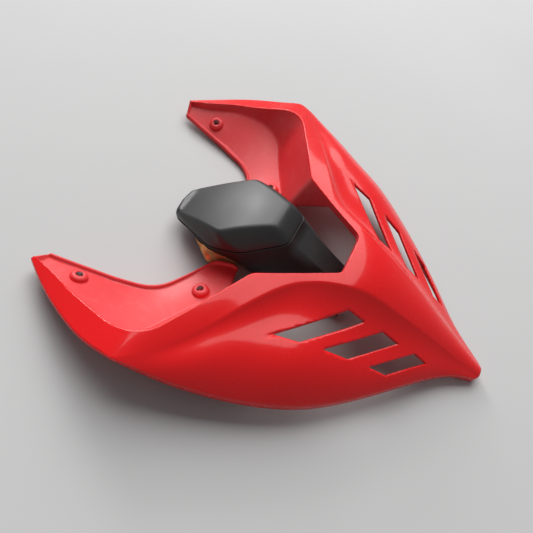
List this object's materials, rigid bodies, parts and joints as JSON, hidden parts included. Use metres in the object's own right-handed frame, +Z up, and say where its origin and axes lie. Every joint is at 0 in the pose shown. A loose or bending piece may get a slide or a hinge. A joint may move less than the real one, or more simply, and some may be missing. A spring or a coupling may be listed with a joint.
{
  "type": "motorcycle tail fairing",
  "caption": "Red moulded tail fairing with forked forward arms, slanted vents in both flanks and a black cap on a housing in its central opening.",
  "frame": {"origin": "on the floor below the middle of the part's bounding box, as it rests on its arms and its tail", "axes": "+X to the rider's right, +Y forward along the arms, +Z up"},
  "size_m": [0.35, 0.382, 0.0682],
  "materials": {
    "fairing_red": "high gloss outside, satin in the trays",
    "cap_black": "fine grain, satin",
    "housing_black": "matte",
    "foil_gold": "creased foil",
    "insert_steel": "turned",
    "screw_steel": "dark zinc"
  },
  "bodies": {
    "root": {"tail_fairing": "fairing_red", "centre_cap": "cap_black", "centre_housing": "housing_black", "heat_foil": "foil_gold", "threaded_inserts": "insert_steel", "housing_screws": "screw_steel", "cap_screws": "screw_steel"}
  },
  "joints": []
}
